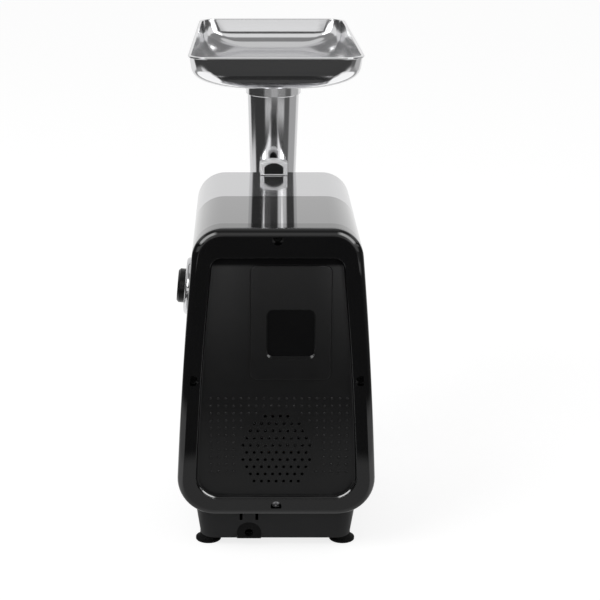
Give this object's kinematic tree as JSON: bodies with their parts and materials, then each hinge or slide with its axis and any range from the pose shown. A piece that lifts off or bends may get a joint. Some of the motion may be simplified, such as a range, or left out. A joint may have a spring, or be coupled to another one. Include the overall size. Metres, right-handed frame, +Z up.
{
  "type": "electric meat grinder",
  "caption": "Electric meat grinder with a metal tray and feed tube on a screw-fed grinding head, a rounded black and silver motor housing, a side control knob and a top lock plunger.",
  "frame": {"origin": "centre of the overall box at floor level, under the housing", "axes": "+Z up, +Y towards the rear cover, -Y towards the grinding head, +X towards the side with the control knob"},
  "size_m": [0.1762, 0.346, 0.4292],
  "materials": {
    "cover_black": "satin moulded black",
    "shell_black": "glossy moulded black",
    "shell_silver": "glossy silver coat",
    "base_black": "fine-grained moulded black",
    "rubber_black": "soft matt rubber",
    "knob_black": "glossy moulded black",
    "trim_chrome": "bright plated",
    "head_metal": "polished cast metal",
    "tray_steel": "polished pressed sheet",
    "cutter_steel": "ground",
    "screw_steel": "zinc plated",
    "shaft_steel": "turned",
    "gear_nylon": "moulded",
    "plate_aluminium": "die cast",
    "core_iron": "stacked laminations",
    "winding_copper": "enamelled wire and copper bars",
    "bush_bronze": "turned",
    "inner_plastic": "moulded"
  },
  "bodies": {
    "housing": {"rear_cover": "cover_black", "body_shell": "shell_black", "front_shell": "shell_silver", "control_panel": "shell_silver", "base": "base_black", "cord_gland": "rubber_black", "foot_rear_left": "rubber_black", "foot_rear_right": "rubber_black", "foot_front_left": "rubber_black", "foot_front_right": "rubber_black", "head_body": "head_metal", "rear_cover_screws": "screw_steel", "base_screws": "screw_steel", "gear_plate_screws": "screw_steel", "motor_bolts": "screw_steel", "motor_spacers": "screw_steel", "gear_plate_spacers": "screw_steel", "lock_spring": "shaft_steel", "rear_bearing": "shaft_steel", "front_bearing": "shaft_steel", "gear_plate_rear": "plate_aluminium", "gear_plate_front": "plate_aluminium", "motor_rear_bracket": "plate_aluminium", "lock_guide": "plate_aluminium", "stator_core": "core_iron", "field_coils": "winding_copper", "first_shaft_bushes": "bush_bronze", "second_shaft_bushes": "bush_bronze", "output_shaft_bushes": "bush_bronze", "brush_holders": "bush_bronze", "rotary_switch": "inner_plastic", "carbon_brushes": "inner_plastic"},
    "knob": {"control_knob": "knob_black"},
    "lock": {"lock_button": "knob_black", "lock_trim": "trim_chrome", "lock_pin": "shaft_steel"},
    "rotor": {"motor_shaft": "shaft_steel", "motor_pinion": "shaft_steel", "armature_core": "core_iron", "armature_windings": "winding_copper", "commutator": "winding_copper", "cooling_fan": "inner_plastic"},
    "first_stage": {"first_gear": "gear_nylon", "first_shaft": "shaft_steel"},
    "second_stage": {"second_gear": "shaft_steel", "second_shaft": "shaft_steel"},
    "auger_drive": {"output_gear": "shaft_steel", "output_shaft": "shaft_steel", "auger": "head_metal", "auger_coupler": "gear_nylon", "knife": "cutter_steel"},
    "cutting_plate": {"cutting_plate": "cutter_steel"},
    "ring_nut": {"ring_nut": "head_metal"},
    "tray": {"tray": "tray_steel"}
  },
  "joints": [
    {"name": "knob_turn", "type": "hinge", "parent": "housing", "child": "knob", "pos_m": [0.07705, 0.105, 0.231], "axis": [0.9965, 0, 0.0838], "range_deg": [-45, 45]},
    {"name": "lock_lift", "type": "slide", "parent": "housing", "child": "lock", "axis": [0, 0, 1], "range_m": [0, 0.005], "stiffness_N_per_m": 500, "springref_m": -0.004, "deforming": ["lock_spring"]},
    {"name": "auger_turn", "type": "hinge", "parent": "housing", "child": "auger_drive", "pos_m": [0, -0.077, 0.235], "axis": [0, 1, 0], "continuous": true},
    {"name": "second_stage_turn", "type": "hinge", "parent": "housing", "child": "second_stage", "pos_m": [0, 0.023, 0.1795], "axis": [0, 1, 0], "continuous": true},
    {"name": "first_stage_turn", "type": "hinge", "parent": "housing", "child": "first_stage", "pos_m": [0, 0.023, 0.13825], "axis": [0, 1, 0], "continuous": true},
    {"name": "rotor_spin", "type": "hinge", "parent": "housing", "child": "rotor", "pos_m": [0, 0.087, 0.10325], "axis": [0, 1, 0], "continuous": true},
    {"name": "plate_release", "type": "slide", "parent": "housing", "child": "cutting_plate", "axis": [0, -1, 0], "range_m": [0, 0.0061]},
    {"name": "ring_nut_turn", "type": "hinge", "parent": "cutting_plate", "child": "ring_nut", "pos_m": [0, -0.117, 0.235], "axis": [0, -1, 0], "range_deg": [0, 720]},
    {"name": "tray_lift", "type": "slide", "parent": "housing", "child": "tray", "axis": [0, 0, 1], "range_m": [0, 0.04]}
  ],
  "couplings": [
    {"joint": "second_stage_turn", "follows": "auger_turn", "ratio": -4.2857},
    {"joint": "first_stage_turn", "follows": "auger_turn", "ratio": 19.286},
    {"joint": "rotor_spin", "follows": "auger_turn", "ratio": -115.71},
    {"joint": "plate_release", "follows": "ring_nut_turn", "m_per_rad": 0.00047746}
  ]
}
